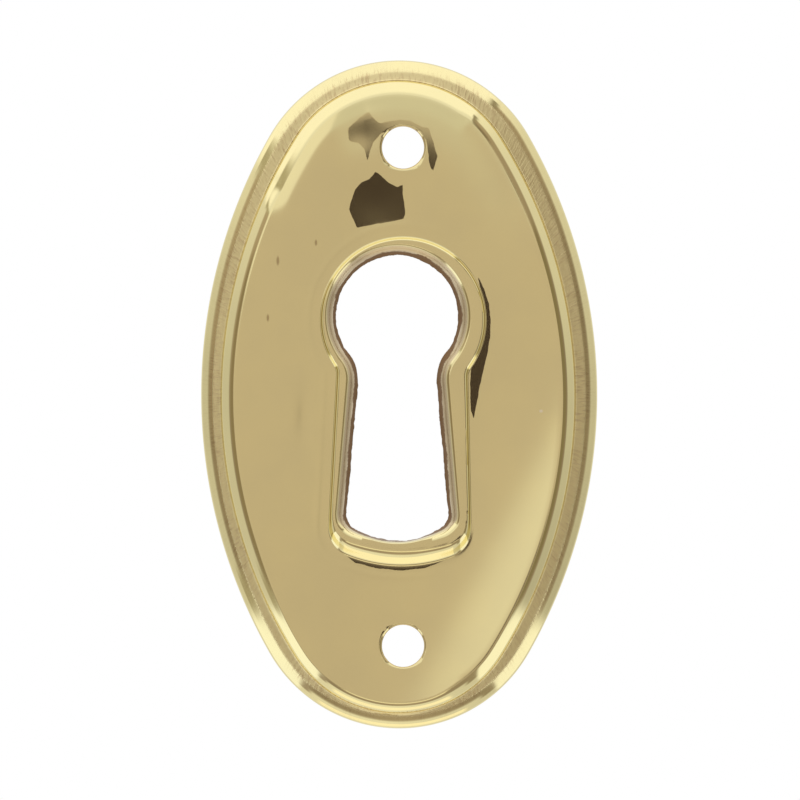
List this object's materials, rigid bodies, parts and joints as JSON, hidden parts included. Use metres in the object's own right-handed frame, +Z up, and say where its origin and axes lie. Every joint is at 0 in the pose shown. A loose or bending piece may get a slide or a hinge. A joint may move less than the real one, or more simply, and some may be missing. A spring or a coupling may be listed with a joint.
{
  "type": "keyhole escutcheon",
  "caption": "Oval pressed brass escutcheon plate with a stepped rim, a raised pad round its keyhole, and a pin hole above and below.",
  "frame": {"origin": "midway between the two pin holes, in the plane of the rim's cut edge, where the plate lies on the wood", "axes": "+Z up along the plate, towards the keyhole's round end; -Y out of the face, so +Y points into the wood; +X to the right as seen from the front"},
  "size_m": [0.0226, 0.0024, 0.0381],
  "materials": {
    "brass": "polished face with a finely grained rim band and browned cut edges"
  },
  "bodies": {
    "root": {"escutcheon_plate": "brass"}
  },
  "joints": []
}
